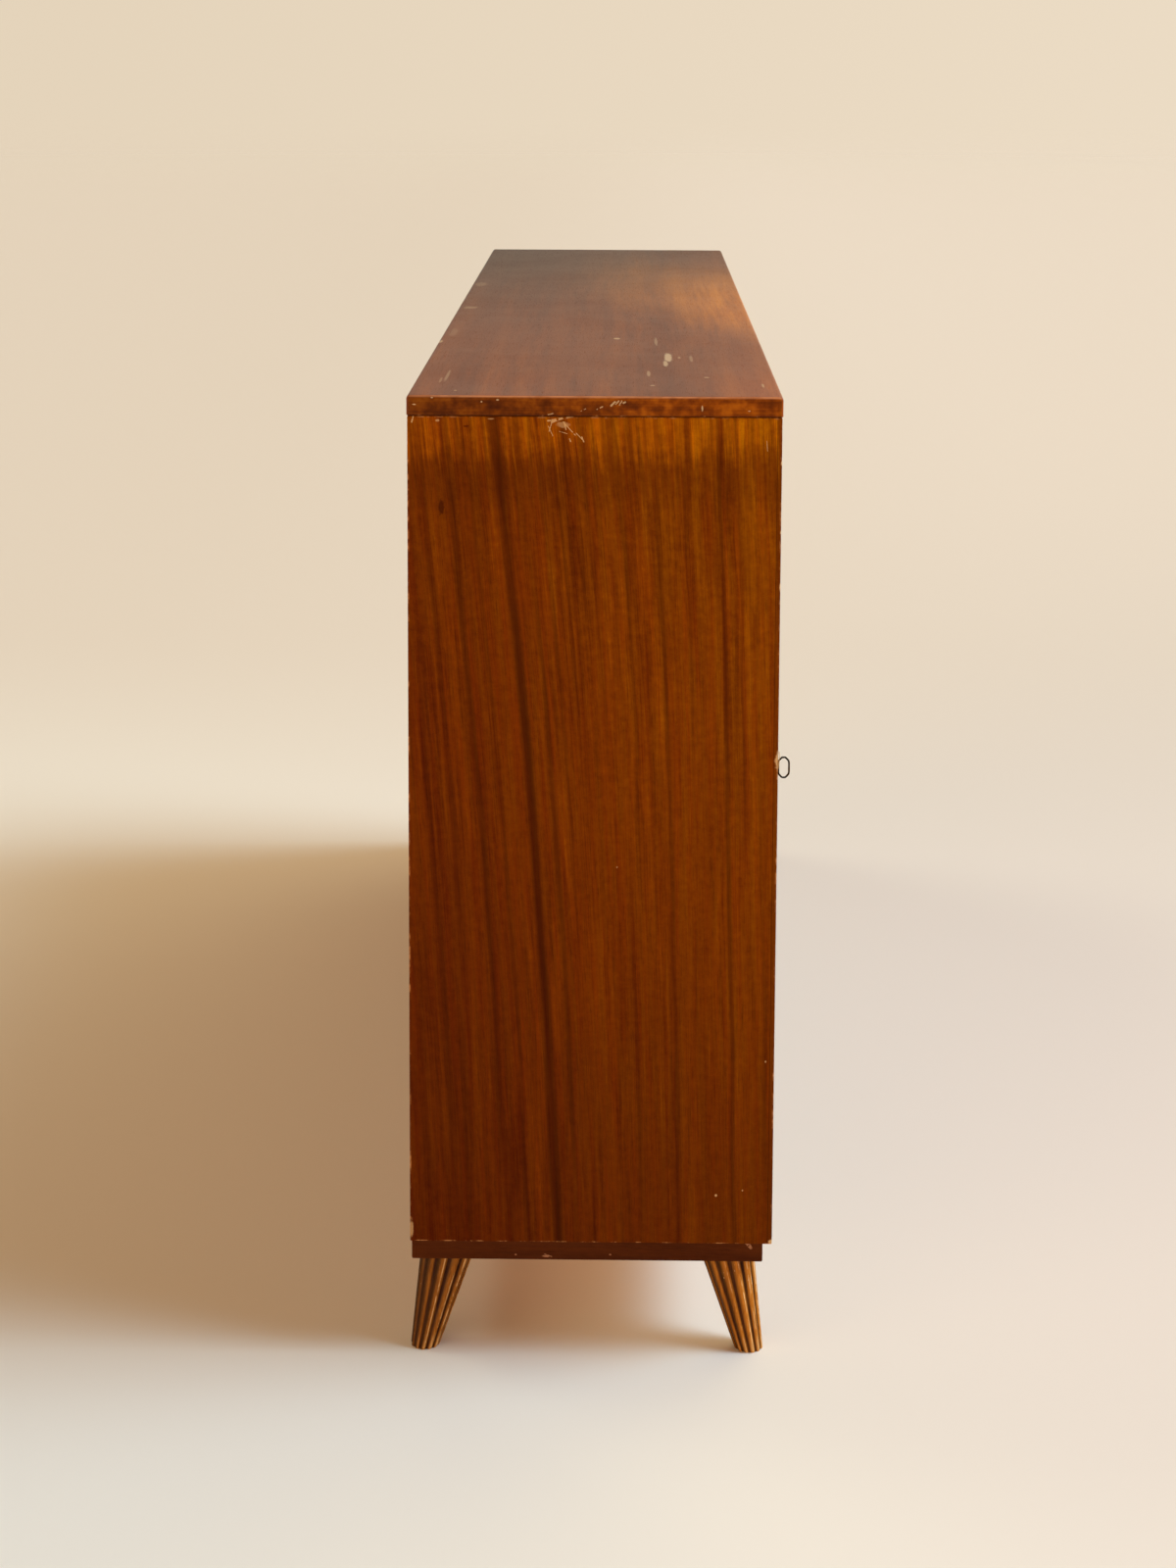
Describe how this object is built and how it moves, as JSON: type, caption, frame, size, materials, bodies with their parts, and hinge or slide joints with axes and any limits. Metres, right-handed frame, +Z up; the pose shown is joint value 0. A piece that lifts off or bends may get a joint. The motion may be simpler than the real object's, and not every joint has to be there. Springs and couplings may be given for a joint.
{
  "type": "sideboard",
  "caption": "Long closed sideboard with two shelved bays behind two pairs of flush locking doors, on a set-in plinth and splayed fluted legs.",
  "frame": {"origin": "on the floor, under the centre of the bounding box", "axes": "+X along the length, -Y to the front with its doors and keys, +Z up"},
  "size_m": [2.002, 0.4432, 1.076],
  "materials": {
    "mahogany": "satin varnished mahogany veneer with an upright grain",
    "dark_mahogany": "dark stained mahogany, satin",
    "leg_wood": "golden brown turned wood, satin, worn on the ridges",
    "plain_wood": "unvarnished wood and plywood",
    "brass": "satin brass",
    "aged_brass": "dark aged brass"
  },
  "bodies": {
    "case": {"top_panel": "mahogany", "bottom_panel": "mahogany", "centre_partition": "mahogany", "back_panel": "plain_wood", "side_panel_left": "mahogany", "shelf_left": "mahogany", "door_stop_left": "dark_mahogany", "side_panel_right": "mahogany", "shelf_right": "mahogany", "door_stop_right": "dark_mahogany", "plinth_front": "dark_mahogany", "plinth_back": "dark_mahogany", "plinth_left": "dark_mahogany", "plinth_right": "dark_mahogany", "leg_block_front_left": "plain_wood", "leg_front_left": "leg_wood", "leg_block_front_right": "plain_wood", "leg_front_right": "leg_wood", "leg_block_back_left": "plain_wood", "leg_back_left": "leg_wood", "leg_block_back_right": "plain_wood", "leg_back_right": "leg_wood", "hinge_pin_leaf_outer_left_top": "brass", "hinge_pin_leaf_outer_left_bottom": "brass", "hinge_pin_leaf_inner_left_top": "brass", "hinge_pin_leaf_inner_left_bottom": "brass", "hinge_pin_leaf_outer_right_top": "brass", "hinge_pin_leaf_outer_right_bottom": "brass", "hinge_pin_leaf_inner_right_top": "brass", "hinge_pin_leaf_inner_right_bottom": "brass"},
    "door_outer_left": {"door_outer_left": "mahogany", "hinge_leaf_outer_left_top": "brass", "hinge_leaf_outer_left_bottom": "brass", "lock_case_left": "brass", "escutcheon_left": "brass"},
    "door_inner_left": {"door_inner_left": "mahogany", "hinge_leaf_inner_left_top": "brass", "hinge_leaf_inner_left_bottom": "brass", "lock_strike_left": "brass", "slide_bolt_guide_left_top": "brass", "slide_bolt_guide_left_bottom": "brass"},
    "key_left": {"key_left": "aged_brass"},
    "lock_bolt_left": {"lock_bolt_left": "brass"},
    "slide_bolt_left_top": {"slide_bolt_left_top": "brass"},
    "slide_bolt_left_bottom": {"slide_bolt_left_bottom": "brass"},
    "door_outer_right": {"door_outer_right": "mahogany", "hinge_leaf_outer_right_top": "brass", "hinge_leaf_outer_right_bottom": "brass", "lock_case_right": "brass", "escutcheon_right": "brass"},
    "door_inner_right": {"door_inner_right": "mahogany", "hinge_leaf_inner_right_top": "brass", "hinge_leaf_inner_right_bottom": "brass", "lock_strike_right": "brass", "slide_bolt_guide_right_top": "brass", "slide_bolt_guide_right_bottom": "brass"},
    "key_right": {"key_right": "aged_brass"},
    "lock_bolt_right": {"lock_bolt_right": "brass"},
    "slide_bolt_right_top": {"slide_bolt_right_top": "brass"},
    "slide_bolt_right_bottom": {"slide_bolt_right_bottom": "brass"}
  },
  "joints": [
    {"name": "door_outer_left_hinge", "type": "hinge", "parent": "case", "child": "door_outer_left", "pos_m": [-0.966, -0.172, 0.603], "axis": [0, 0, -1], "range_deg": [0, 110]},
    {"name": "door_inner_left_hinge", "type": "hinge", "parent": "case", "child": "door_inner_left", "pos_m": [-0.024, -0.172, 0.603], "axis": [0, 0, 1], "range_deg": [0, 90]},
    {"name": "key_left_turn", "type": "hinge", "parent": "door_outer_left", "child": "key_left", "pos_m": [-0.521, -0.1795, 0.546], "axis": [0, 1, 0], "range_deg": [0, 180]},
    {"name": "lock_bolt_left_slide", "type": "slide", "parent": "door_outer_left", "child": "lock_bolt_left", "axis": [1, 0, 0], "range_m": [0, 0.01]},
    {"name": "slide_bolt_left_top_slide", "type": "slide", "parent": "door_inner_left", "child": "slide_bolt_left_top", "axis": [0, 0, 1], "range_m": [0, 0.01]},
    {"name": "slide_bolt_left_bottom_slide", "type": "slide", "parent": "door_inner_left", "child": "slide_bolt_left_bottom", "axis": [0, 0, -1], "range_m": [0, 0.01]},
    {"name": "door_outer_right_hinge", "type": "hinge", "parent": "case", "child": "door_outer_right", "pos_m": [0.966, -0.172, 0.603], "axis": [0, 0, 1], "range_deg": [0, 110]},
    {"name": "door_inner_right_hinge", "type": "hinge", "parent": "case", "child": "door_inner_right", "pos_m": [0.024, -0.172, 0.603], "axis": [0, 0, -1], "range_deg": [0, 90]},
    {"name": "key_right_turn", "type": "hinge", "parent": "door_outer_right", "child": "key_right", "pos_m": [0.521, -0.1795, 0.546], "axis": [0, -1, 0], "range_deg": [0, 180]},
    {"name": "lock_bolt_right_slide", "type": "slide", "parent": "door_outer_right", "child": "lock_bolt_right", "axis": [-1, 0, 0], "range_m": [0, 0.01]},
    {"name": "slide_bolt_right_top_slide", "type": "slide", "parent": "door_inner_right", "child": "slide_bolt_right_top", "axis": [0, 0, 1], "range_m": [0, 0.01]},
    {"name": "slide_bolt_right_bottom_slide", "type": "slide", "parent": "door_inner_right", "child": "slide_bolt_right_bottom", "axis": [0, 0, -1], "range_m": [0, 0.01]}
  ],
  "couplings": [
    {"joint": "key_left_turn", "follows": "lock_bolt_left_slide", "rad_per_m": 314.16},
    {"joint": "key_right_turn", "follows": "lock_bolt_right_slide", "rad_per_m": 314.16}
  ]
}
